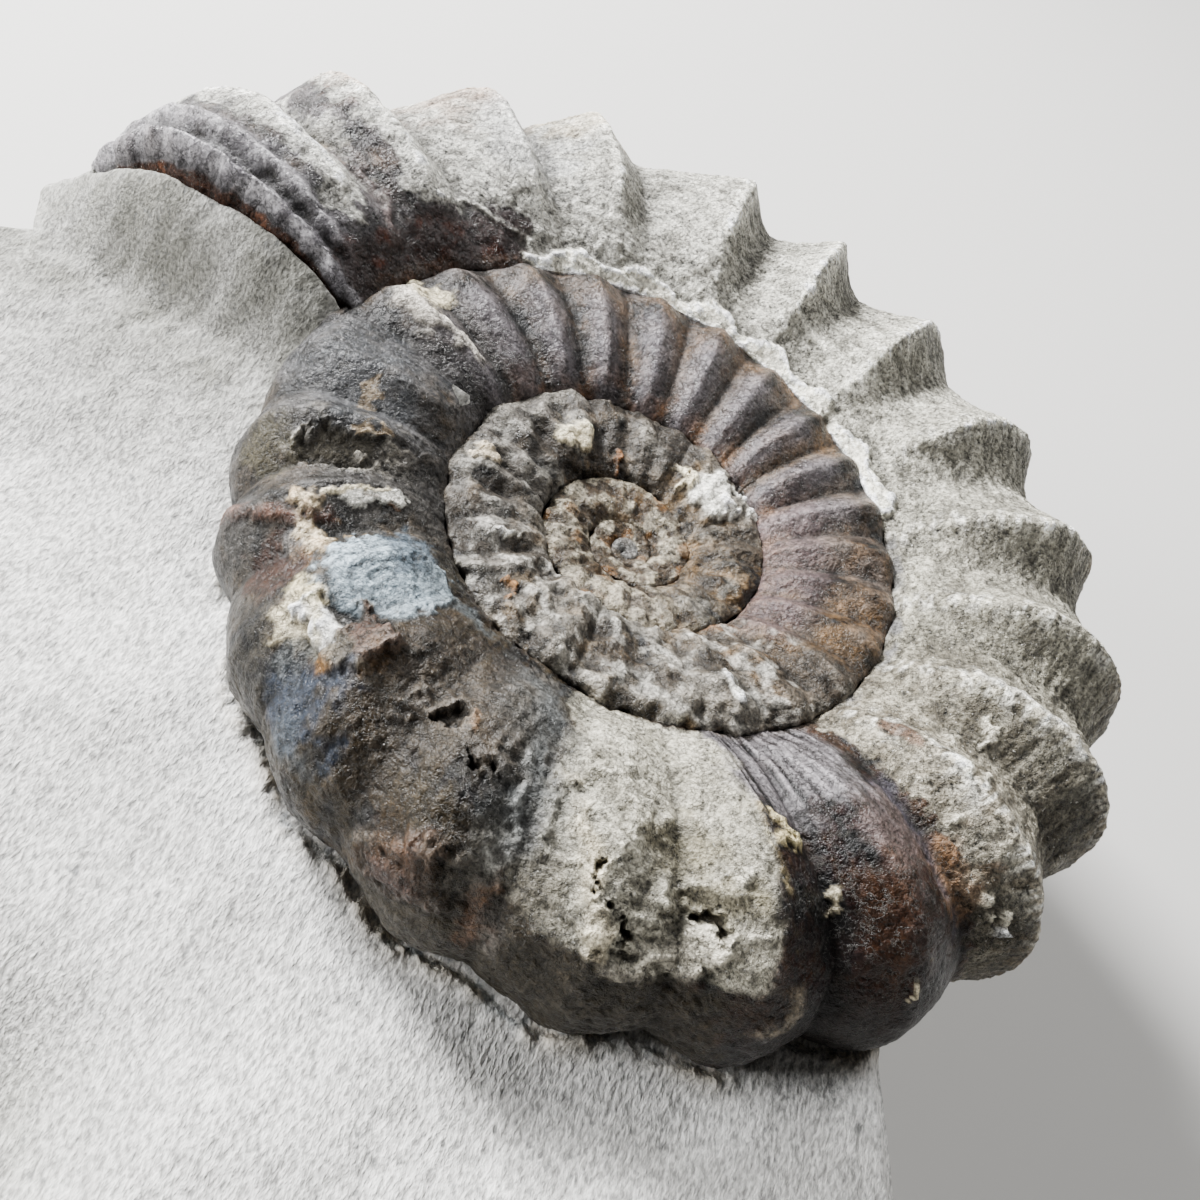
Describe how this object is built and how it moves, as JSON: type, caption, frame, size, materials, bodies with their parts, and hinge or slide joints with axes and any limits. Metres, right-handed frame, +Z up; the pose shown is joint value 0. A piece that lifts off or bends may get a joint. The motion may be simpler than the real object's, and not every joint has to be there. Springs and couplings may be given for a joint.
{
  "type": "fossil androgynoceras ammonite",
  "caption": "Ribbed fossil ammonite coil lying half sunk in a flat-based block of pale limestone, its outer whorl overhanging the block.",
  "frame": {"origin": "on the block's flat underside, on the axis of the ammonite's coil", "axes": "+Z up along the coil's axis, away from the underside; the block's far edge is at +Y and the shell's mouth faces -Y on the -X side"},
  "size_m": [0.0896, 0.0939, 0.0347],
  "materials": {
    "shell": "calcite and mudstone cast with glossy dark brown shell remains, grey-beige ribs and white calcite patches",
    "limestone": "matt pale grey fine-grained limestone with small dark specks"
  },
  "bodies": {
    "root": {"ammonite": "shell", "rock": "limestone"}
  },
  "joints": []
}
